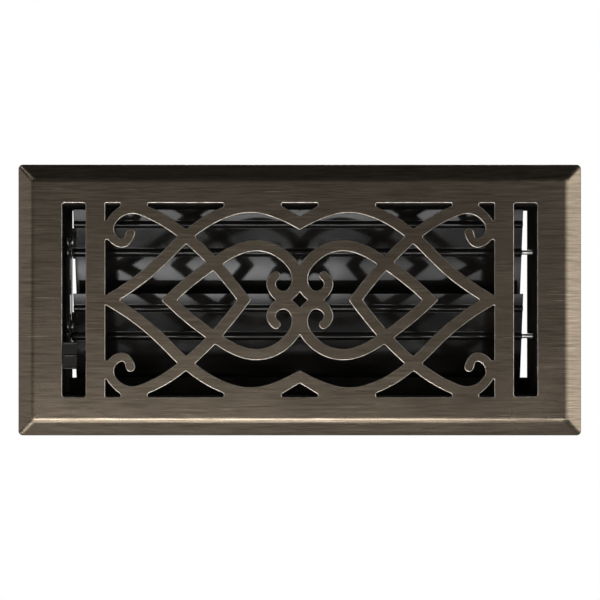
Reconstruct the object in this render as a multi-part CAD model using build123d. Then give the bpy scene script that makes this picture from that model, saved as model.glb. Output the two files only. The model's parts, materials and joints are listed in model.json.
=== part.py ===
# Sidewall register: a pierced scroll face over a box with a two-blade damper.
# Millimetres. The face looks along -Y, +Z is up, and the wall lies in the plane Y = 0.
from build123d import *
from math import cos, radians, sin, sqrt
import os

# Damper box
box_length = 246.0         # inside, between the end plates
box_height = 97.8          # inside, between the channels
box_depth = 44.0           # behind the wall plane
box_sheet = 0.8
bend_radius = 0.6          # inside the folds
channel_flange = 9.0
end_flange = 8.0
corner_tab_length = 10.0
corner_tab_depth = 12.0
corner_tab_setback = 3.0   # from the rear edge of the box
corner_rivet_inset = 3.3   # from the free end of the tab

# Face plate
end_border = 21.3          # past the ends of the box
top_border = 20.15         # past its top and bottom
face_rise = 5.0            # front of the face above the wall
face_sheet = 1.4
rim_step = 1.2             # upright edge that meets the wall
bevel_width = 7.8
shoulder_radius = 6.3      # inside of the fold between bevel and front
outline_radius = 2.3       # corners of the rim, seen from the front
shoulder_corner = 3.0      # corners of the flat front
rim_edge_radius = 0.6      # along the front of the upright edge

# Side slots and pierced grille
slot_inset = 0.9           # slot to the inside of the end plate
slot_width = 12.1
slot_radius = 1.2
post_width = 10.05         # between a slot and the grille
strap_width = 6.0
curl_width = 4.9           # the straps narrow to this at the ends of their curls

# Blades
blade_top_gap = 0.3        # upright upper blade to the top channel
blade_bottom_gap = 6.5     # upright lower blade to the bottom channel
blade_overlap = 2.6        # of the two blades, upright; hides the gap at the rest tilt too
blade_sheet = 0.6
blade_link_gap = 4.0       # blade to the end plate beside the link
blade_free_gap = 5.6       # blade to the other end plate
blade_face_gap = 2.6       # level blade to the back of the face
bead_offset = 15.3         # stiffening bead above the pivot
bead_radius = 1.6
bead_foot_radius = 0.9     # fold at each side of a bead
rest_tilt = 17.0           # from upright, top edge towards the face
closed_tilt = 4.0
open_tilt = 87.0

# Pivot rods
rod_radius = 1.25
rod_overhang = 1.4         # past the outside of the end plates
seat_clearance = 0.02      # pieces pressed or threaded on
running_clearance = 0.05
retainer_radius = 3.2
retainer_thickness = 0.6
retainer_gap = 0.3

# Cranks and link
crank_radius = 11.0
crank_sheet = 0.8
arm_half_width = 3.5
arm_foot_length = 10.0
arm_foot_low = 4.0         # foot of the arm along the blade, from the pivot
arm_foot_high = 13.0
crank_pin_radius = 1.25
open_pivot_clearance = 0.15
side_clearance = 0.15      # link bar between the arm and the rivet head
link_sheet = 0.8
link_width = 7.0
link_floor_gap = 1.7       # link bar to the bottom channel, with the blades open

# Thumb lever
lever_sheet = 0.8
lever_rise = 2.8           # middle of the lever above the middle of the link's round end
lever_height = 10.0
pad_height = 14.0
pad_width = 7.4
pad_standoff = 2.7         # pad in front of the face
grip_radius = 0.6
lever_bend = 1.0           # outside of the fold between lever and pad
lever_rivet_pitch = 6.0

# Stop angle under the lower blade
stop_lap = 1.4             # stop over the closed blade
stop_foot = 9.0
stop_gap = 0.4             # to the closed blade
stop_end_gap = 1.0

# Rivets, studs and nuts
rivet_radius = 1.2
rivet_head_radius = 2.3
rivet_head = 0.8
rivet_head_bevel = 0.48
rivet_tail_radius = 1.8
rivet_tail = 0.5
stud_radius = 1.5
stud_length = 3.2
stud_pitch = 90.0
stud_hole_clearance = 0.15
nut_across_flats = 5.5
nut_height = 2.2

# Places that follow from the sizes
box_half_length = box_length / 2
box_half_height = box_height / 2
face_length = box_length + 2 * (box_sheet + end_border)
face_height = box_height + 2 * (box_sheet + top_border)
face_front = -face_rise
face_back = face_front + face_sheet
opening_height = box_height + 2 * box_sheet
slot_middle = box_half_length - slot_inset - slot_width / 2
grille_length = 2 * (slot_middle - slot_width / 2 - post_width)
corner_rivet_x = box_half_length - corner_tab_length + corner_rivet_inset
corner_rivet_y = box_depth - corner_tab_setback - corner_tab_depth / 2
stud_z = box_half_height + box_sheet + (channel_flange - box_sheet) / 2
blade_width = (box_height - blade_top_gap - blade_bottom_gap + blade_overlap) / 2
blade_left = blade_link_gap - box_half_length
blade_right = box_half_length - blade_free_gap
upper_pivot_height = box_half_height - blade_top_gap - blade_width / 2
lower_pivot_height = upper_pivot_height - blade_width + blade_overlap
pivot_depth = face_back + blade_face_gap + blade_width / 2
stop_height = blade_bottom_gap + stop_lap
half_swing = (open_tilt - closed_tilt) / 2
rest_lift = (closed_tilt + open_tilt) / 2 - rest_tilt
crank_rise = crank_radius * sin(radians(rest_lift))
crank_pin_depth = pivot_depth - crank_radius * cos(radians(rest_lift))
crank_drop = crank_radius * sin(radians(half_swing))
arm_outside = blade_left - crank_sheet
link_inside = arm_outside - side_clearance
link_outside = link_inside - link_sheet
lever_outside = link_outside - lever_sheet
link_tail = box_half_height + lower_pivot_height - crank_drop - link_width / 2 - link_floor_gap
lever_middle = lower_pivot_height + crank_rise - link_tail + lever_rise


# Quarter pattern of the grille. Each strap is a line of points (across, up) in hundredths of the
# half length and half height of the opening, from the middle of the grille. Points past an axis or
# past the border only give the strap its direction there. A curl is the narrow end of its strap.
arch_strap = [(-3.5, 75), (10, 89), (24.3, 96), (41, 88.5), (58.4, 65.7), (74, 35.2), (92.5, 7), (103, -5)]
scroll_strap = [(26.5, -6), (35.4, 17.6), (44, 38), (58.4, 65.7), (69.3, 81.5), (78, 90.5), (87.3, 94.8)]
scroll_curl = [(95, 86), (97.9, 73), (92.2, 59), (87, 69.5)]
heart_strap = [(70, -6), (58.6, 15.7), (44, 38), (34, 50.3), (24, 56.2), (14, 53), (6.8, 43.5),
               (1.8, 29), (1.9, 14), (8.6, 3.8)]
heart_curl = [(14.6, 14), (12.3, 25.2)]

# Webs between a strap and the border, which end the holes bluntly. The points are outlines.
centre_web = [(0, 86.3), (9.2, 97.4), (9.2, 101), (18, 101), (14, 88), (0, 80)]
arch_web = [(33, 93), (39.2, 93), (39.2, 101), (33, 101)]
scroll_web = [(78.1, 94), (84, 94), (84, 101), (78.1, 101)]
corner_web = [(88, 94), (92.2, 94), (92.2, 101), (88, 101)]
post_web = [(97, 62.2), (101, 62.2), (101, 81.7), (97, 81.7)]


def along_x(sketch, start, finish):
    """Extrude a sketch drawn on (Y, Z) from one X to another."""
    return extrude(Plane.YZ.offset(start) * sketch, finish - start)


def along_z(sketch, start, finish):
    """Extrude a sketch drawn on (X, Y) from one Z to another."""
    return extrude(Plane.XY.offset(start) * sketch, finish - start)


def from_front(sketch, start, finish):
    """Extrude a sketch drawn on (X, Z), as seen from the front, from one Y back to another."""
    return extrude(Plane.XZ.offset(-start) * sketch, start - finish)


def bar(low, high):
    """Block between two corners."""
    size = Vector(*high) - Vector(*low)
    middle = (Vector(*high) + Vector(*low)) / 2
    return Pos(middle) * Box(size.X, size.Y, size.Z)


def bend(start, finish, tangent):
    """Arc that leaves its start along the tangent, or a line where that is straight."""
    if abs((finish - start).cross(tangent).Z) < 0.01:
        return Line(start, finish)
    return TangentArc(start, finish, tangent=tangent)


def smooth_edge(points, tangents):
    """Two arcs between each pair of points, so that the edge is tangent all along."""
    arcs = []
    for start, finish, leave, arrive in zip(points, points[1:], tangents, tangents[1:]):
        span = finish - start
        turn = 1 - leave.dot(arrive)
        reach = span.dot(leave + arrive)
        if turn > 1e-6:
            length = (sqrt(reach**2 + 2 * turn * span.dot(span)) - reach) / (2 * turn)
        else:
            length = span.dot(span) / (2 * reach)
        join = (start + finish + (leave - arrive) * length) / 2
        arcs += [bend(start, join, leave), bend(finish, join, -arrive)]
    return arcs


def grille_points(pattern):
    """Hundredths of the half opening, as places on the face."""
    return [Vector(across * grille_length, up * opening_height) / 200 for across, up in pattern]


def strap(pattern, curl=()):
    """Outline of a strap with a round end, narrower along the points of its curl."""
    points = grille_points([*pattern, *curl])
    guide = Spline(*points)
    tangents = [guide.tangent_at(point) for point in points]
    half_widths = [strap_width / 2] * len(pattern) + [curl_width / 2] * len(curl)
    sides = [tangent.rotate(Axis.Z, 90) * half for tangent, half in zip(tangents, half_widths)]
    left = [point + side for point, side in zip(points, sides)]
    right = [point - side for point, side in zip(points, sides)]
    tip = points[-1] + tangents[-1] * half_widths[-1]
    outline = smooth_edge(left, tangents) + smooth_edge(right, tangents)
    outline += [Line(left[0], right[0]), ThreePointArc(left[-1], tip, right[-1])]
    return make_face(outline)


def grille_holes():
    """Everything of the grille opening that the straps leave free."""
    quarter = Rectangle(grille_length / 2, opening_height / 2, align=(Align.MIN, Align.MIN))
    quarter -= strap(arch_strap)
    quarter -= strap(scroll_strap, scroll_curl)
    quarter -= strap(heart_strap, heart_curl)
    for web in (centre_web, arch_web, scroll_web, corner_web, post_web):
        quarter -= make_face(Polyline(*grille_points(web), close=True))
    half = quarter + mirror(quarter, Plane.YZ)
    return half + mirror(half, Plane.XZ)


def tray(inset):
    """Solid form of the stamped tray, moved in: upright step, mitred bevel and flat front."""
    length = face_length - 2 * inset
    height = face_height - 2 * inset
    front_length = face_length - 2 * bevel_width - inset
    front_height = face_height - 2 * bevel_width - inset
    foot = Plane.XZ * RectangleRounded(length, height, outline_radius)
    rim = Plane.XZ.offset(rim_step) * RectangleRounded(length, height, outline_radius)
    front = Plane.XZ.offset(face_rise - inset) * RectangleRounded(front_length, front_height, shoulder_corner)
    form = extrude(foot, rim_step) + loft([rim.face(), front.face()])
    shoulder = form.faces().sort_by(Axis.Y)[0].edges()
    form = fillet(shoulder, shoulder_radius + face_sheet - inset)
    rim_edges = form.edges().filter_by_position(Axis.Y, -rim_step, -rim_step)
    return fillet(rim_edges, rim_edge_radius)


def face_plate():
    plate = tray(0) - tray(face_sheet)
    slots = Sketch() + [
        Pos(side * slot_middle, 0) * RectangleRounded(slot_width, opening_height, slot_radius)
        for side in (-1, 1)]
    return plate - from_front(grille_holes() + slots, face_front, 0)


def angle_section(first, second):
    """L of box sheet with its outside corner at the origin and legs along +X and +Y."""
    outline = Polyline((0, 0), (first, 0), (first, box_sheet), (box_sheet, box_sheet),
                       (box_sheet, second), (0, second), close=True)
    section = make_face(outline)
    outer = section.vertices().sort_by_distance((0, 0))[0]
    section = fillet(outer, bend_radius + box_sheet)
    inner = section.vertices().sort_by_distance((box_sheet, box_sheet))[0]
    return fillet(inner, bend_radius)


def rivet(grip):
    """Rivet along +Z with its sloped head below 0 and its flat tail above the grip."""
    head = Pos(0, 0, -rivet_head / 2) * Cylinder(rivet_head_radius, rivet_head)
    head = chamfer(head.edges().group_by(Axis.Z)[0], rivet_head_bevel)
    shank = Pos(0, 0, grip / 2) * Cylinder(rivet_radius, grip)
    tail = Pos(0, 0, grip + rivet_tail / 2) * Cylinder(rivet_tail_radius, rivet_tail)
    return head + shank + tail


def top_channel():
    section = Pos(face_back, box_half_height) * angle_section(box_depth - face_back, channel_flange)
    channel = along_x(section, -box_half_length, box_half_length)
    rivet_hole = Cylinder(rivet_radius + seat_clearance, face_height)
    for side in (-1, 1):
        channel -= Pos(side * corner_rivet_x, corner_rivet_y) * rivet_hole
    holes = Sketch() + [Pos(step * stud_pitch, stud_z) * Circle(stud_radius + stud_hole_clearance)
                        for step in (-1, 0, 1)]
    return channel - from_front(holes, face_back, 0)


def right_end_plate():
    section = Pos(box_half_length, face_back) * mirror(
        Rot(0, 0, 90) * angle_section(box_depth - face_back, end_flange), Plane.YZ)
    outside_height = box_half_height + box_sheet
    plate = along_z(section, -outside_height, outside_height)
    tab_rear = box_depth - corner_tab_setback
    tab = bar((box_half_length - corner_tab_length, tab_rear - corner_tab_depth, box_half_height - box_sheet),
              (box_half_length + box_sheet / 2, tab_rear, box_half_height))
    plate += [tab, mirror(tab, Plane.XY)]
    plate -= Pos(corner_rivet_x, corner_rivet_y) * Cylinder(rivet_radius + seat_clearance, face_height)
    for height in (upper_pivot_height, lower_pivot_height):
        hole = Pos(pivot_depth, height) * Circle(rod_radius + running_clearance)
        plate -= along_x(hole, box_half_length - box_sheet, box_half_length + 2 * box_sheet)
    return plate


def frame_rivets():
    top = Pos(corner_rivet_x, corner_rivet_y, box_half_height - box_sheet) * rivet(2 * box_sheet)
    right = [top, mirror(top, Plane.XY)]
    return Compound(right + [mirror(one, Plane.YZ) for one in right])


def studs_and_nuts():
    stud = from_front(Circle(stud_radius), face_back, face_back + stud_length)
    nut_face = RegularPolygon(nut_across_flats / 2, 6, major_radius=False)
    nut_face -= Circle(stud_radius + seat_clearance)
    seat = face_back + box_sheet
    nut = from_front(nut_face, seat, seat + nut_height)
    places = [Pos(step * stud_pitch, 0, side * stud_z) for side in (-1, 1) for step in (-1, 0, 1)]
    return Compound([place * stud for place in places]), Compound([place * nut for place in places])


def stop_angle():
    closed_reach = (box_half_height + lower_pivot_height - stop_height) / cos(radians(closed_tilt))
    blade_front = pivot_depth + closed_reach * sin(radians(closed_tilt)) - blade_sheet / 2
    rear = blade_front - stop_gap
    section = Pos(rear, -box_half_height) * mirror(angle_section(stop_foot, stop_height), Plane.YZ)
    half_length = box_half_length - stop_end_gap
    return along_x(section, -half_length, half_length)


def tilted(piece, pivot_height):
    """Turn a piece drawn upright about the X axis to the rest tilt, on its pivot."""
    return Pos(0, pivot_depth, pivot_height) * Rot(rest_tilt, 0, 0) * piece


def blade():
    section = Rectangle(blade_sheet, blade_width)
    pivot_bead = rod_radius + running_clearance
    for height, inside in ((0, pivot_bead), (bead_offset, bead_radius - blade_sheet)):
        outside = inside + blade_sheet
        half = Rectangle(2 * outside, 2 * outside, align=(Align.MAX, Align.CENTER))
        front_half = Pos(blade_sheet / 2, 0) * half
        section += Pos(0, height) * (Circle(outside) & front_half)
        section -= Pos(0, height) * Circle(inside)
    front_corners = section.vertices().group_by(Axis.X)[0].sort_by(Axis.Y)
    section = fillet(front_corners[1:-1], bead_foot_radius)
    return along_x(section, blade_left, blade_right)


def pivot_rod():
    half_length = box_half_length + box_sheet + rod_overhang
    return along_x(Circle(rod_radius), -half_length, half_length)


def rod_retainers():
    ring = Circle(retainer_radius) - Circle(rod_radius + seat_clearance)
    start = box_half_length + box_sheet + retainer_gap
    right = along_x(ring, start, start + retainer_thickness)
    return Compound([right, mirror(right, Plane.YZ)])


def crank_arm():
    upright_lift = rest_lift + rest_tilt
    pin = Vector(-crank_radius * cos(radians(upright_lift)), crank_radius * sin(radians(upright_lift)))
    arm = Pos(pin / 2) * Rot(0, 0, -upright_lift) * SlotCenterToCenter(crank_radius, 2 * arm_half_width)
    foot_back = blade_sheet / 2 + crank_sheet
    arm += Pos(foot_back, 0) * Rectangle(arm_half_width, arm_foot_high, align=(Align.MAX, Align.MIN))
    arm -= Circle(rod_radius + running_clearance)
    arm -= Pos(pin) * Circle(crank_pin_radius + seat_clearance)
    plate = along_x(arm, arm_outside, blade_left)
    foot = bar((arm_outside, blade_sheet / 2, arm_foot_low),
               (blade_left + arm_foot_length, foot_back, arm_foot_high))
    return plate + foot


def crank_rivet(pivot_height):
    """Shouldered rivet: pressed in the arm, with the link bar running on it."""
    pin = Pos(crank_pin_depth, pivot_height + crank_rise)
    head_inside = link_outside - side_clearance
    shank = along_x(pin * Circle(crank_pin_radius), head_inside, blade_left)
    head = along_x(pin * Circle(rivet_head_radius), head_inside - rivet_head, head_inside)
    head = chamfer(head.edges().group_by(Axis.X)[0], rivet_head / 2)
    tail = along_x(pin * Circle(rivet_tail_radius), blade_left, blade_left + rivet_tail)
    return head + shank + tail


def lever_rivet_places():
    return [Pos(crank_pin_depth, lever_middle + side * lever_rivet_pitch / 2) for side in (-1, 1)]


def link_bar():
    upper_pin = upper_pivot_height + crank_rise
    lower_pin = lower_pivot_height + crank_rise
    length = upper_pin - lower_pin + link_tail
    upright = Rot(0, 0, 90) * SlotCenterToCenter(length, link_width)
    outline = Pos(crank_pin_depth, upper_pin - length / 2) * upright
    outline -= Pos(crank_pin_depth, upper_pin) * Circle(crank_pin_radius + open_pivot_clearance)
    outline -= Pos(crank_pin_depth, lower_pin) * Circle(crank_pin_radius + running_clearance)
    for place in lever_rivet_places():
        outline -= place * Circle(rivet_radius + seat_clearance)
    return along_x(outline, link_outside, link_inside)


def thumb_lever():
    pad_back = face_front - pad_standoff
    pad_front = pad_back - lever_sheet
    rear = crank_pin_depth + link_width / 2
    pad_end = lever_outside + pad_width
    folded = Polyline((lever_outside, rear), (lever_outside, pad_front), (pad_end, pad_front),
                      (pad_end, pad_back), (link_outside, pad_back), (link_outside, rear), close=True)
    section = make_face(folded)
    fold = section.vertices().sort_by_distance((lever_outside, pad_front))[0]
    section = fillet(fold, lever_bend)
    lever = along_z(section, lever_middle - pad_height / 2, lever_middle + pad_height / 2)
    narrow = bar((lever_outside, pad_back + lever_bend, 0), (link_outside, rear, pad_height))
    for side in (-1, 1):
        edge = lever_middle + side * (lever_height + pad_height) / 2
        lever -= Pos(0, 0, edge - pad_height / 2) * narrow
    for step in (-1, 0, 1):
        rib_height = lever_middle + step * (pad_height / 2 - grip_radius)
        rib = Pos(pad_front, rib_height) * Circle(grip_radius)
        lever += along_x(rib, lever_outside + lever_bend, pad_end)
    holes = [place * Circle(rivet_radius + seat_clearance) for place in lever_rivet_places()]
    return lever - along_x(Sketch() + holes, lever_outside, link_outside)


def lever_rivets():
    grip = lever_sheet + link_sheet
    one = Rot(0, 90, 0) * rivet(grip)
    return Compound([Pos(lever_outside, place.position.X, place.position.Y) * one
                     for place in lever_rivet_places()])


def build_parts():
    top = top_channel()
    right = right_end_plate()
    weld_studs, stud_nuts = studs_and_nuts()
    parts = {
        "face_plate": face_plate(),
        "top_channel": top,
        "bottom_channel": mirror(top, Plane.XY),
        "right_end_plate": right,
        "left_end_plate": mirror(right, Plane.YZ),
        "frame_rivets": frame_rivets(),
        "weld_studs": weld_studs,
        "stud_nuts": stud_nuts,
        "stop_angle": stop_angle(),
        "link_bar": link_bar(),
        "thumb_lever": thumb_lever(),
        "lever_rivets": lever_rivets(),
    }
    for name, height in (("upper", upper_pivot_height), ("lower", lower_pivot_height)):
        parts[name + "_blade"] = tilted(blade(), height)
        parts[name + "_pivot_rod"] = tilted(pivot_rod(), height)
        parts[name + "_rod_retainers"] = tilted(rod_retainers(), height)
        parts[name + "_crank_arm"] = tilted(crank_arm(), height)
        parts[name + "_crank_rivet"] = crank_rivet(height)
    return parts


os.makedirs("parts", exist_ok=True)
for node, shape in build_parts().items():
    export_step(shape, "parts/" + node + ".step")
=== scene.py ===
import json
import math

import bmesh
import bpy
import numpy as np
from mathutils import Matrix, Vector
from mathutils.geometry import delaunay_2d_cdt


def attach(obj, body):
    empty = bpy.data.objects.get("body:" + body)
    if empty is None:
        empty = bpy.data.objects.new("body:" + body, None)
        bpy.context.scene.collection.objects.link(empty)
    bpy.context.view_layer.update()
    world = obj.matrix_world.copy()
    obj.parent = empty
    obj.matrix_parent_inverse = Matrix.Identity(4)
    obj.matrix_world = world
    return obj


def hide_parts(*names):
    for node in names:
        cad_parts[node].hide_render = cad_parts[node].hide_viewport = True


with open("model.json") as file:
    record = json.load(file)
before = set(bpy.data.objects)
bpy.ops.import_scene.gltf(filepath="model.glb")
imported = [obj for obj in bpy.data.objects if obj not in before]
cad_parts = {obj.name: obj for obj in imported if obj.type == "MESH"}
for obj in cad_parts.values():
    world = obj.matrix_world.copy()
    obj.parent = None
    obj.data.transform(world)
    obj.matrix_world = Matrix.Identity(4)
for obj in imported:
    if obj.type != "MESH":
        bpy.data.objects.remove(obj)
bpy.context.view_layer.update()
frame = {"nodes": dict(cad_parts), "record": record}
nodes = frame["nodes"]
scene = bpy.context.scene
print("register: frame loaded,", len(nodes), "nodes")


# small helpers for the node trees

plainWhite = (1.0, 1.0, 1.0, 1.0)
fullSpan = (0.0, 1.0)


def addNode(tree, kind, place=(0, 0), **values):
    # one shader node, with its own settings given by name
    node = tree.nodes.new(kind)
    node.location = place
    for name, value in values.items():
        setattr(node, name, value)
    return node


def emptyFinish(name):
    # a material with nothing but its output
    finish = bpy.data.materials.new(name)
    finish.use_nodes = True
    tree = finish.node_tree
    tree.nodes.clear()
    output = addNode(tree, "ShaderNodeOutputMaterial", (900, 0))
    return finish, tree, output


def newFinish(name):
    # a material with a Principled shader on its output
    finish, tree, output = emptyFinish(name)
    shader = addNode(tree, "ShaderNodeBsdfPrincipled", (600, 0))
    tree.links.new(shader.outputs["BSDF"], output.inputs["Surface"])
    return finish, tree, shader


def stretchedNoise(tree, pattern, place):
    # noise on Object coordinates, each axis scaled by its own count per metre
    perMetre, detail, roughness = pattern
    where = addNode(tree, "ShaderNodeTexCoord", (place[0] - 400, place[1]))
    mapping = addNode(tree, "ShaderNodeMapping", (place[0] - 200, place[1]))
    mapping.inputs["Scale"].default_value = perMetre
    noise = addNode(tree, "ShaderNodeTexNoise", place)
    noise.inputs["Scale"].default_value = 1.0
    noise.inputs["Detail"].default_value = detail
    noise.inputs["Roughness"].default_value = roughness
    tree.links.new(where.outputs["Object"], mapping.inputs["Vector"])
    tree.links.new(mapping.outputs["Vector"], noise.inputs["Vector"])
    return noise.outputs["Fac"]


def ranged(tree, source, taken, given, place):
    # source over the span taken becomes the span given, held at both ends
    node = addNode(tree, "ShaderNodeMapRange", place)
    node.inputs["From Min"].default_value = taken[0]
    node.inputs["From Max"].default_value = taken[1]
    node.inputs["To Min"].default_value = given[0]
    node.inputs["To Max"].default_value = given[1]
    tree.links.new(source, node.inputs["Value"])
    return node.outputs["Result"]


def mixed(tree, amount, first, second, place):
    # colour between first and second; either may be a socket or four numbers
    node = addNode(tree, "ShaderNodeMix", place, data_type="RGBA")
    tree.links.new(amount, node.inputs["Factor"])
    for value, socket in ((first, node.inputs[6]), (second, node.inputs[7])):   # 6 and 7 take colours
        if isinstance(value, tuple):
            socket.default_value = value
        else:
            tree.links.new(value, socket)
    return node.outputs[2]   # 2 gives the colour


def toned(tree, shader, source, taken, first, second):
    # base colour goes from first to second as source crosses the span taken
    amount = ranged(tree, source, taken, fullSpan, (-350, 200))
    tint = mixed(tree, amount, first, second, (0, 250))
    tree.links.new(tint, shader.inputs["Base Color"])


def roughened(tree, shader, source, taken, given, place=(-350, 0)):
    # roughness goes over the span given as source crosses the span taken
    rough = ranged(tree, source, taken, given, place)
    tree.links.new(rough, shader.inputs["Roughness"])


def bumped(tree, shader, source, strength, depth):
    # source as height: 1 stands depth metres above 0, softened by strength
    bump = addNode(tree, "ShaderNodeBump", (120, -200))
    bump.inputs["Strength"].default_value = strength
    bump.inputs["Distance"].default_value = depth
    tree.links.new(source, bump.inputs["Height"])
    tree.links.new(bump.outputs["Normal"], shader.inputs["Normal"])


# dark bronze face, brushed along its length.
# a noise is its counts per metre on X, Y and Z, its detail and its roughness

faceFinishValues = {
    "dark": (0.062, 0.0494, 0.0362, 1.0),
    "light": (0.124, 0.1010, 0.0760, 1.0),
    "scratch": (0.25, 0.21, 0.165, 1.0),
    "streaks": ((48.0, 48.0, 1350.0), 3.0, 0.65),
    "hairs": ((85.0, 85.0, 3600.0), 2.0, 0.6),
    "scratches": ((42.0, 42.0, 1300.0), 3.0, 0.6),
    "clouds": ((30.0, 30.0, 45.0), 2.0, 0.5),
    "toneSpan": (0.76, 1.24),       # streaks plus hairs, from dark to light
    "scratchSpan": (0.65, 0.75),    # only the peaks are scratches
    "scratchCover": (0.0, 0.7),
    "roughSpan": (0.3, 0.7),
    "rough": (0.24, 0.29),
    "anisotropic": 0.35,
    "brushStrength": 0.35,
    "brushDepth": 0.000006,
}


def brushedBronze(values):
    # tone is broad streaks plus fine hairs, both drawn out along X; rare peaks are scratches
    finish, tree, shader = newFinish("brushedBronze")
    streak = stretchedNoise(tree, values["streaks"], (-700, 300))
    hair = stretchedNoise(tree, values["hairs"], (-700, 50))
    scratch = stretchedNoise(tree, values["scratches"], (-700, -200))
    cloud = stretchedNoise(tree, values["clouds"], (-700, -450))
    both = addNode(tree, "ShaderNodeMath", (-450, 250), operation="ADD")
    tree.links.new(streak, both.inputs[0])
    tree.links.new(hair, both.inputs[1])
    brush = both.outputs[0]
    tone = ranged(tree, brush, values["toneSpan"], fullSpan, (-250, 250))
    line = ranged(tree, scratch, values["scratchSpan"], values["scratchCover"], (-350, -100))
    base = mixed(tree, tone, values["dark"], values["light"], (-50, 250))
    tint = mixed(tree, line, base, values["scratch"], (150, 250))
    tree.links.new(tint, shader.inputs["Base Color"])
    roughened(tree, shader, cloud, values["roughSpan"], values["rough"], (-350, -350))
    shader.inputs["Metallic"].default_value = 1.0
    shader.inputs["Anisotropic"].default_value = values["anisotropic"]
    bumped(tree, shader, brush, values["brushStrength"], values["brushDepth"])
    return finish


# rolled edges of the face: brighter metal, partly where the dark finish is worn back to the metal and
# partly a painted highlight that brightens the glints on the edges

wornAndHighlightValues = {
    "covered": (0.14, 0.12, 0.10, 1.0),
    # the bright colour is worn metal, raised further as a painted highlight on the rolled edges
    "bareAndHighlight": (0.31, 0.285, 0.25, 1.0),
    "patches": ((260.0, 260.0, 260.0), 3.0, 0.6),
    "toneSpan": (0.30, 0.62),
    "rough": 0.30,
}


def wornAndHighlightEdge(values):
    # patches between covered and bare metal; the bare colour is also a painted highlight on the rolled
    # edges
    finish, tree, shader = newFinish("wornAndHighlightEdge")
    patch = stretchedNoise(tree, values["patches"], (-600, 200))
    toned(tree, shader, patch, values["toneSpan"], values["covered"], values["bareAndHighlight"])
    shader.inputs["Metallic"].default_value = 1.0
    shader.inputs["Roughness"].default_value = values["rough"]
    return finish


# black stoved enamel of the blades and what moves with them

enamelValues = {
    "black": (0.0034, 0.0030, 0.0027, 1.0),
    "dusty": (0.0072, 0.0064, 0.0057, 1.0),
    "dust": ((60.0, 60.0, 60.0), 4.0, 0.6),
    "peel": ((700.0, 700.0, 700.0), 1.0, 0.4),
    "toneSpan": (0.35, 0.75),
    "roughSpan": (0.3, 0.75),
    "rough": (0.09, 0.13),
    "gloss": 0.22,
    "peelStrength": 0.25,
    "peelDepth": 0.00001,
}


def blackEnamel(values):
    # gloss paint: soft dust clouds change tone and gloss, a fine even noise is the orange peel
    finish, tree, shader = newFinish("blackEnamel")
    dust = stretchedNoise(tree, values["dust"], (-600, 200))
    peel = stretchedNoise(tree, values["peel"], (-600, -300))
    toned(tree, shader, dust, values["toneSpan"], values["black"], values["dusty"])
    roughened(tree, shader, dust, values["roughSpan"], values["rough"])
    shader.inputs["Specular IOR Level"].default_value = values["gloss"]
    bumped(tree, shader, peel, values["peelStrength"], values["peelDepth"])
    return finish


# flat black of the box round the blades

flatBlackValues = {
    "black": (0.0070, 0.0063, 0.0056, 1.0),
    "dusty": (0.0140, 0.0128, 0.0116, 1.0),
    "dust": ((80.0, 80.0, 80.0), 4.0, 0.6),
    "grain": ((1800.0, 1800.0, 1800.0), 1.0, 0.5),
    "toneSpan": (0.35, 0.75),
    "roughSpan": (0.3, 0.7),
    "rough": (0.50, 0.64),
    "gloss": 0.0,
    "grainStrength": 0.3,
    "grainDepth": 0.00005,
}


def flatBlack(values):
    # chalky paint with no gloss: dust clouds in the tone, a fine grain in the height
    finish, tree, shader = newFinish("flatBlack")
    dust = stretchedNoise(tree, values["dust"], (-600, 200))
    grain = stretchedNoise(tree, values["grain"], (-600, -300))
    toned(tree, shader, dust, values["toneSpan"], values["black"], values["dusty"])
    roughened(tree, shader, grain, values["roughSpan"], values["rough"])
    shader.inputs["Specular IOR Level"].default_value = values["gloss"]
    bumped(tree, shader, grain, values["grainStrength"], values["grainDepth"])
    return finish


# zinc plated rods, rivets, studs and nuts

platedValues = {
    "bright": (0.60, 0.59, 0.56, 1.0),
    "dull": (0.40, 0.39, 0.37, 1.0),
    "spots": ((400.0, 400.0, 400.0), 3.0, 0.6),
    "span": (0.3, 0.7),
    "rough": (0.28, 0.48),
    "spotStrength": 0.2,
    "spotDepth": 0.00002,
}


def platedSteel(values):
    # satin metal with cloudy spots in tone, gloss and height
    finish, tree, shader = newFinish("platedSteel")
    spot = stretchedNoise(tree, values["spots"], (-600, 200))
    toned(tree, shader, spot, values["span"], values["bright"], values["dull"])
    roughened(tree, shader, spot, values["span"], values["rough"])
    shader.inputs["Metallic"].default_value = 1.0
    bumped(tree, shader, spot, values["spotStrength"], values["spotDepth"])
    return finish


bronze = brushedBronze(faceFinishValues)
wornAndHighlight = wornAndHighlightEdge(wornAndHighlightValues)
enamel = blackEnamel(enamelValues)
matt = flatBlack(flatBlackValues)
plated = platedSteel(platedValues)
print("register: finishes ready")


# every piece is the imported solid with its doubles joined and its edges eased

strengthName = "__mod_weightednormals_faceweight"   # face strength, as Set Face Strength stores it
shellValues = {
    "mergeWithin": 0.000002,
    "strong": 16384,                    # strength of a face that stays flat
    "sharpFrom": math.radians(38.0),
    "segments": 3,
    "normalWeight": 50,                 # middle of the scale: corner angle or area alone decides
}


def joined(mesh, outward):
    # doubles merged; a rebuilt mesh also has its faces turned outwards
    work = bmesh.new()
    work.from_mesh(mesh)
    bmesh.ops.remove_doubles(work, verts=work.verts, dist=shellValues["mergeWithin"])
    if outward:
        bmesh.ops.recalc_face_normals(work, faces=work.faces)
    work.to_mesh(mesh)
    work.free()
    return mesh


def fieldOf(items, field, width, kind):
    # one field of every item as a whole array, a row for each item
    values = np.empty(len(items) * width, kind)
    items.foreach_get(field, values)
    return values.reshape(-1, width) if width > 1 else values


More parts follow.
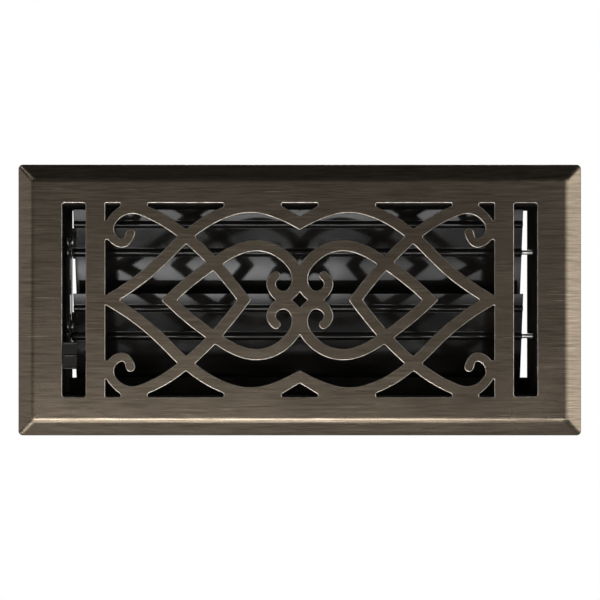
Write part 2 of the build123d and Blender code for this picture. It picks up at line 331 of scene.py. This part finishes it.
def edgeTurns(mesh):
    # angle between the two faces of every edge
    normals = fieldOf(mesh.polygons, "normal", 3, float)
    loopEdge = fieldOf(mesh.loops, "edge_index", 1, int)
    loopCount = fieldOf(mesh.polygons, "loop_total", 1, int)
    loopFace = np.repeat(np.arange(len(mesh.polygons)), loopCount)
    order = np.argsort(loopEdge, kind="stable")
    first = np.searchsorted(loopEdge[order], np.arange(len(mesh.edges)), "left")
    last = np.searchsorted(loopEdge[order], np.arange(len(mesh.edges)), "right") - 1
    facing = np.sum(normals[loopFace[order][first]] * normals[loopFace[order][last]], 1)
    return np.arccos(np.clip(facing, -1.0, 1.0))


def easedShell(node, mesh, body, finishes, ease):
    # edges that turn more than sharpFrom are rounded over the width of ease
    sharp = (edgeTurns(mesh) > shellValues["sharpFrom"]).astype(np.float32)
    weights = mesh.attributes.new("bevel_weight_edge", "FLOAT", "EDGE")
    weights.data.foreach_set("value", sharp)
    mesh.polygons.foreach_set("use_smooth", np.ones(len(mesh.polygons), bool))
    for finish in finishes:
        mesh.materials.append(finish)
    piece = bpy.data.objects.new(node + "_shell", mesh)
    scene.collection.objects.link(piece)
    rounding = piece.modifiers.new("easedEdges", "BEVEL")
    rounding.limit_method = "WEIGHT"
    rounding.width = ease
    rounding.segments = shellValues["segments"]
    rounding.use_clamp_overlap = False
    rounding.loop_slide = False
    flat = piece.modifiers.new("flatNormals", "WEIGHTED_NORMAL")
    graded = strengthName in mesh.attributes
    flat.mode = "CORNER_ANGLE" if graded else "FACE_AREA_WITH_ANGLE"
    flat.weight = shellValues["normalWeight"]
    flat.keep_sharp = False
    flat.use_face_influence = graded
    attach(piece, body)
    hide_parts(node)


# the face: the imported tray, its flat front rebuilt with the pierced edges rolled in by the punch

rollValues = {
    "border": 0.00055,       # roll of the long edges beside the border
    "scroll": 0.00045,
    "upright": 0.00030,      # roll of edges that run straight up
    "uprightFrom": 0.99,     # rise of an edge along its run that counts as straight up
    "borderHeight": 0.0490,
    "step": 0.0004,          # between points of an outline
    "corner": 0.0012,        # length over which a corner is rounded off
    "blend": 0.0028,         # length over which one roll fades into the next
    "segments": 4,
    "sameLevel": 0.000002,
    "facesBack": 0.999,      # how squarely a face looks back to be the sheet's back
    "wallFacing": 0.02,      # how far the wall of a hole may lean
    "bevelFacing": 0.899,    # how far the bevel faces front: cosine of its slope
    "bevelWithin": 0.004,
    "tiny": 1e-15,           # keeps a sliver's normal from a division by zero
    "planScale": 1000.0,     # the sheets are triangulated in millimetres
    "planWithin": 1e-6,
    "burr": 0.00012,         # eased edge behind
}
insideWithHoles = 2          # what the triangulation gives back: faces inside the outline, holes left out


def faceNormals(points, corners):
    # unit normal of each triangle: the cross product of two sides over its length
    first, second, third = (points[corners[:, place]] for place in range(3))
    normals = np.cross(second - first, third - first)
    return normals / np.maximum(np.linalg.norm(normals, axis=1, keepdims=True), rollValues["tiny"])


def borderLoops(corners):
    # ordered outlines of a set of triangles: directed edges with no reverse, followed from end to end.
    # both the loop's name and the steps left to its first point come from jumps that double in length
    ends = np.concatenate([corners[:, [0, 1]], corners[:, [1, 2]], corners[:, [2, 0]]])
    size = ends.max() + 1
    ends = ends[~np.isin(ends[:, 0] * size + ends[:, 1], ends[:, 1] * size + ends[:, 0])]
    follow = np.arange(size)
    follow[ends[:, 0]] = ends[:, 1]
    doublings = range(int(size).bit_length())
    name, hop = np.arange(size), follow.copy()
    for jump in doublings:
        name, hop = np.minimum(name, name[hop]), hop[hop]
    first = name == np.arange(size)
    left, hop = np.where(first, 0, 1), np.where(first, name, follow)
    for jump in doublings:
        left, hop = left + left[hop], hop[hop]
    used = np.unique(ends)
    loops = [used[name[used] == one] for one in np.unique(name[used])]
    return [loop[np.argsort(-left[loop])] for loop in loops]


def flatPlans(points, corners):
    # outlines of a flat in X and Z, the widest first
    plans = [points[loop][:, [0, 2]] for loop in borderLoops(corners)]
    return sorted(plans, key=lambda plan: -np.ptp(plan[:, 0]))


def spread(values, count):
    # running average round a closed loop; an odd count keeps it centred
    return np.mean([np.roll(values, shift - count // 2, axis=0) for shift in range(count)], axis=0)


def evenOutline(plan, values):
    # outline walked at even steps, anticlockwise, its corners averaged away
    closed = np.vstack([plan, plan[:1]])
    run = np.concatenate([[0.0], np.cumsum(np.linalg.norm(np.diff(closed, axis=0), axis=1))])
    count = int(run[-1] / values["step"])
    at = np.arange(count) * run[-1] / count
    even = np.stack([np.interp(at, run, closed[:, 0]), np.interp(at, run, closed[:, 1])], 1)
    area = np.sum(even[:, 0] * np.roll(even[:, 1], -1) - np.roll(even[:, 0], -1) * even[:, 1])
    even = even if area > 0 else even[::-1]
    return spread(even, int(values["corner"] / values["step"]) | 1)


def rolledRings(plan, front, back, values):
    # wall from the back up to the roll, then a quarter circle out onto the front
    along = np.roll(plan, -1, axis=0) - np.roll(plan, 1, axis=0)
    along /= np.linalg.norm(along, axis=1, keepdims=True)
    outward = np.stack([along[:, 1], -along[:, 0]], 1)
    roll = np.where(np.abs(along[:, 1]) > values["uprightFrom"], values["upright"], values["scroll"])
    roll = np.where(np.abs(plan[:, 1]) > values["borderHeight"], values["border"], roll)
    roll = spread(roll, int(values["blend"] / values["step"]) | 1)
    turn = np.linspace(0.0, math.pi / 2, values["segments"] + 1)[:, None]
    reach = plan + (roll * (1.0 - np.cos(turn)))[:, :, None] * outward
    depth = front + roll * (1.0 - np.sin(turn))
    reach = np.concatenate([plan[None], reach])
    depth = np.concatenate([np.full((1, len(plan)), back), depth])
    return np.stack([reach[:, :, 0], depth, reach[:, :, 1]], 2)


def ringFaces(rings, count):
    # quads between neighbouring closed rings
    here = np.arange(count)
    beside = np.roll(here, -1)
    lower = (np.arange(rings - 1) * count)[:, None]
    upper = lower + count
    quads = np.stack([lower + here, lower + beside, upper + beside, upper + here], 2)
    return quads.reshape(-1, 4)


def piercedSheet(outlines, level, values):
    # flat sheet at one depth: Delaunay triangles inside the first outline and outside the others
    plan = np.concatenate(outlines) * values["planScale"]
    starts = np.cumsum([0] + [len(outline) for outline in outlines])
    loops = [list(range(start, end)) for start, end in zip(starts[:-1], starts[1:])]
    found = delaunay_2d_cdt(plan.tolist(), [], loops, insideWithHoles, values["planWithin"])
    flat = np.array(found[0], float) / values["planScale"]
    return np.stack([flat[:, 0], np.full(len(flat), level), flat[:, 1]], 1), np.array(found[2])


def blockMesh(name, blocks):
    # a block is points, faces, which faces take the worn metal with its painted highlight, and their
    # strength.
    # each block's faces count on from the points of the blocks before it
    bases = np.cumsum([0] + [len(block[0]) for block in blocks])
    faces = []
    for base, block in zip(bases, blocks):
        faces += (block[1] + base).tolist()
    # faces of worn metal with a painted highlight take the second finish
    wornAndHighlighted = np.concatenate([np.broadcast_to(block[2], len(block[1])) for block in blocks])
    strength = np.concatenate([np.broadcast_to(block[3], len(block[1])) for block in blocks])
    mesh = bpy.data.meshes.new(name)
    mesh.from_pydata(np.concatenate([block[0] for block in blocks]).tolist(), [], faces)
    mesh.polygons.foreach_set("material_index", wornAndHighlighted.astype(np.int32))
    grade = mesh.attributes.new(strengthName, "INT", "FACE")
    grade.data.foreach_set("value", strength.astype(np.int32))
    return joined(mesh, True)


def rolledFace(node, values):
    # the tray's own triangles outside its flat, then rolled holes, then a new front and back sheet
    tray = joined(nodes[node].data.copy(), False)
    points = fieldOf(tray.vertices, "co", 3, float)
    corners = fieldOf(tray.loops, "vertex_index", 1, int).reshape(-1, 3)
    normals = faceNormals(points, corners)
    depth = points[corners][:, :, 1]
    front = points[:, 1].min()
    back = depth[normals[:, 1] > values["facesBack"]].min()
    onFront = np.all(np.abs(depth - front) < values["sameLevel"], 1)
    onBack = np.all(np.abs(depth - back) < values["sameLevel"], 1)
    between = np.all((depth > front - values["sameLevel"]) & (depth < back + values["sameLevel"]), 1)
    holeWall = between & (np.abs(normals[:, 1]) < values["wallFacing"])
    stays = ~(onFront | onBack | holeWall)
    onBevel = np.abs(np.abs(normals[stays][:, 1]) - values["bevelFacing"]) < values["bevelWithin"]
    frontPlans = flatPlans(points, corners[onFront])
    backPlans = flatPlans(points, corners[onBack])
    stacks = [rolledRings(evenOutline(plan, values), front, back, values) for plan in frontPlans[1:]]
    strong = shellValues["strong"]
    blocks = [(points, corners[stays], 0, onBevel * strong)]
    for stack in stacks:
        quads = ringFaces(*stack.shape[:2])
        # the roll faces get the worn metal with its painted highlight
        onRoll = np.arange(len(quads)) >= stack.shape[1]   # all but the wall, which is the first ring
        blocks.append((stack.reshape(-1, 3), quads, onRoll, 0))
    for outer, level, ring in ((frontPlans[0], front, -1), (backPlans[0], back, 0)):
        holes = [stack[ring][:, [0, 2]] for stack in stacks]
        sheet, sheetFaces = piercedSheet([outer] + holes, level, values)
        blocks.append((sheet, sheetFaces, 0, strong))
    return blockMesh(node + "_shell", blocks)


faceMesh = rolledFace("face_plate", rollValues)
# the rolled hole edges take the second finish: worn metal and a painted highlight
easedShell("face_plate", faceMesh, "frame", [bronze, wornAndHighlight], rollValues["burr"])
print("register: face shell has", len(faceMesh.polygons), "faces before easing")


# the other pieces: finish and width of the eased edge

pieceValues = {
    "box": {"finish": matt, "slot": "black_paint", "ease": 0.00015,
            "nodes": ["top_channel", "bottom_channel", "left_end_plate", "right_end_plate", "stop_angle"]},
    "moving": {"finish": enamel, "slot": "black_paint", "ease": 0.00015,
               "nodes": ["upper_blade", "lower_blade", "upper_crank_arm", "lower_crank_arm",
                         "link_bar", "thumb_lever"]},
    "fasteners": {"finish": plated, "slot": "plated_steel", "ease": 0.00010,
                  "nodes": ["frame_rivets", "weld_studs", "stud_nuts", "lever_rivets",
                            "upper_pivot_rod", "lower_pivot_rod", "upper_rod_retainers",
                            "lower_rod_retainers", "upper_crank_rivet", "lower_crank_rivet"]},
}
bodies = frame["record"]["behaviour"]["bodies"]
bodyOf = {node: body for body, members in bodies.items() for node in members}

for group in pieceValues.values():
    for nodeName in group["nodes"]:
        nodeMesh = joined(nodes[nodeName].data.copy(), False)
        nodeMesh.materials.clear()
        easedShell(nodeName, nodeMesh, bodyOf[nodeName], [group["finish"]], group["ease"])
print("register: pieces dressed")


# pale floor and backdrop, soft light, camera

stageValues = {
    "floorHeight": -0.75,
    "backdropDepth": 0.80,
    "halfWidth": 3.0,
    "front": -2.4,
    "backdropTop": 2.4,
    "backdropShade": 0.80,
    "floorShade": 0.60,
    "floorRough": 0.9,
    "floorLift": 0.12,
}


def stageSheet(name, corners):
    # one flat rectangle of the stage
    mesh = bpy.data.meshes.new(name)
    mesh.from_pydata(corners, [], [(0, 1, 2, 3)])
    sheet = bpy.data.objects.new(name, mesh)
    scene.collection.objects.link(sheet)
    return sheet


def seenBare(tree, place):
    # 1 for rays from the eye, off metal or through glass, and 0 for the rays that light things
    path = addNode(tree, "ShaderNodeLightPath", place)
    eye = addNode(tree, "ShaderNodeMath", (place[0] + 200, place[1]), operation="MAXIMUM")
    seen = addNode(tree, "ShaderNodeMath", (place[0] + 400, place[1]), operation="MAXIMUM")
    tree.links.new(path.outputs["Is Camera Ray"], eye.inputs[0])
    tree.links.new(path.outputs["Is Glossy Ray"], eye.inputs[1])
    tree.links.new(eye.outputs[0], seen.inputs[0])
    tree.links.new(path.outputs["Is Transmission Ray"], seen.inputs[1])
    return seen.outputs[0]


def floorPaper(values):
    # pale matt paper that takes the object's shadow, lifted a little where it is seen
    paper, tree, shader = newFinish("floorPaper")
    shade = values["floorShade"]
    shader.inputs["Base Color"].default_value = (shade, shade, shade, 1.0)
    shader.inputs["Roughness"].default_value = values["floorRough"]
    shader.inputs["Emission Color"].default_value = plainWhite
    glow = ranged(tree, seenBare(tree, (-400, -300)), fullSpan, (0.0, values["floorLift"]), (300, -300))
    tree.links.new(glow, shader.inputs["Emission Strength"])
    return paper


def backdropPaper(values):
    # plain diffuse for the light, an even white of strength 1 to the eye and in reflections
    paper, tree, output = emptyFinish("backdropPaper")
    shade = values["backdropShade"]
    plain = addNode(tree, "ShaderNodeBsdfDiffuse", (100, 100))
    plain.inputs["Color"].default_value = (shade, shade, shade, 1.0)
    white = addNode(tree, "ShaderNodeEmission", (100, -100))
    blend = addNode(tree, "ShaderNodeMixShader", (350, 0))
    tree.links.new(seenBare(tree, (-500, 250)), blend.inputs["Fac"])
    tree.links.new(plain.outputs[0], blend.inputs[1])
    tree.links.new(white.outputs[0], blend.inputs[2])
    tree.links.new(blend.outputs[0], output.inputs["Surface"])
    return paper


side = stageValues["halfWidth"]
low = stageValues["floorHeight"]
deep = stageValues["backdropDepth"]
near = stageValues["front"]
high = stageValues["backdropTop"]
floorCorners = [(-side, near, low), (side, near, low), (side, deep, low), (-side, deep, low)]
backdropCorners = [(-side, deep, low), (side, deep, low), (side, deep, high), (-side, deep, high)]
floor = stageSheet("floor", floorCorners)
floor.data.materials.append(floorPaper(stageValues))
backdrop = stageSheet("backdrop", backdropCorners)
backdrop.data.materials.append(backdropPaper(stageValues))

lightValues = {
    "eyeLevel": 0.35,             # room light in a band about eye level
    "overhead": 0.115,
    "below": 0.10,
    "bandLow": (-0.36, -0.16),    # sine of the height where the band fades in and out
    "bandHigh": (0.06, 0.42),
    "soft": [
        # name, place, aims at, width, height, watts
        ("lowKey", (-0.20, -0.40, -0.380), (-0.20, 0.0, -0.06), 0.70, 0.045, 1.2),
        ("frontSoft", (-0.22, -1.10, -0.46), (-0.22, 0.0, -0.05), 0.90, 0.26, 5.8),
        ("frontStrip", (-0.22, -1.00, -0.38), (-0.22, 0.0, -0.03), 0.90, 0.03, 3.4),
        ("leftStrip", (-0.15, -0.30, -0.197), (-0.15, 0.0, 0.0), 0.36, 0.014, 0.23),
        ("rightStrip", (0.17, -0.30, -0.197), (0.17, 0.0, 0.0), 0.28, 0.014, 0.07),
        ("upperStrip", (0.0, -0.30, -0.146), (0.0, 0.0, 0.0), 0.60, 0.006, 0.13),
        ("leftFill", (-0.30, -1.25, -0.06), (-0.30, 0.0, 0.0), 0.60, 0.34, 0.26),
        ("rightPanel", (0.60, -0.27, 0.0), (0.14, 0.0, 0.0), 0.25, 0.5, 1.85),
        ("rightFront", (0.427, -0.41, 0.0), (0.14, 0.0, 0.0), 0.20, 0.5, 0.85),
        ("leftPanel", (-0.60, -0.27, 0.0), (-0.14, 0.0, 0.0), 0.25, 0.5, 0.36),
        ("cornerGlint", (-0.54, -0.50, 0.47), (-0.14, 0.0, 0.07), 0.12, 0.12, 0.20),
        ("backSoft", (0.30, 0.66, 0.50), (0.30, 0.05, 0.0), 0.90, 0.40, 9.0),
    ],
}


def softLight(name, place, aim, width, height, watts):
    # a rectangle of light facing its aim point
    lamp = bpy.data.lights.new(name, "AREA")
    lamp.shape = "RECTANGLE"
    lamp.size = width
    lamp.size_y = height
    lamp.energy = watts
    holder = bpy.data.objects.new(name, lamp)
    holder.location = place
    holder.rotation_euler = (Vector(aim) - Vector(place)).to_track_quat("-Z", "Y").to_euler()
    holder.visible_camera = False
    scene.collection.objects.link(holder)


def roomLight(values):
    # grey room: the lesser of a rise from below and a fall towards overhead
    world = bpy.data.worlds.new("room")
    scene.world = world
    world.use_nodes = True
    tree = world.node_tree
    where = addNode(tree, "ShaderNodeTexCoord", (-900, 0))
    parts = addNode(tree, "ShaderNodeSeparateXYZ", (-700, 0))
    tree.links.new(where.outputs["Generated"], parts.inputs[0])
    height = parts.outputs["Z"]
    rise = ranged(tree, height, values["bandLow"], (values["below"], values["eyeLevel"]), (-450, 150))
    fall = ranged(tree, height, values["bandHigh"], (values["eyeLevel"], values["overhead"]), (-450, -150))
    level = addNode(tree, "ShaderNodeMath", (-250, 0), operation="MINIMUM")
    tree.links.new(rise, level.inputs[0])
    tree.links.new(fall, level.inputs[1])
    room = tree.nodes["Background"]
    tree.links.new(level.outputs[0], room.inputs["Strength"])
    room.inputs["Color"].default_value = plainWhite


for row in lightValues["soft"]:
    softLight(*row)
roomLight(lightValues)

cameraValues = {
    "distance": 0.900,
    "faceFront": -0.005,
    "across": 0.00013,
    "up": 0.0,
    "frameWidth": 0.3081,    # what the picture spans at the face
    "sensor": 36.0,
    "clipStart": 0.05,
}
cameraData = bpy.data.cameras.new("photoCamera")
cameraData.sensor_width = cameraValues["sensor"]
cameraData.lens = cameraValues["sensor"] * cameraValues["distance"] / cameraValues["frameWidth"]
cameraData.clip_start = cameraValues["clipStart"]
photoCamera = bpy.data.objects.new("photoCamera", cameraData)
stand = cameraValues["faceFront"] - cameraValues["distance"]
photoCamera.location = (cameraValues["across"], stand, cameraValues["up"])
photoCamera.rotation_euler = (math.pi / 2, 0.0, 0.0)
scene.collection.objects.link(photoCamera)
scene.camera = photoCamera
scene.view_settings.view_transform = "Standard"
print("register: stage, light and camera set")
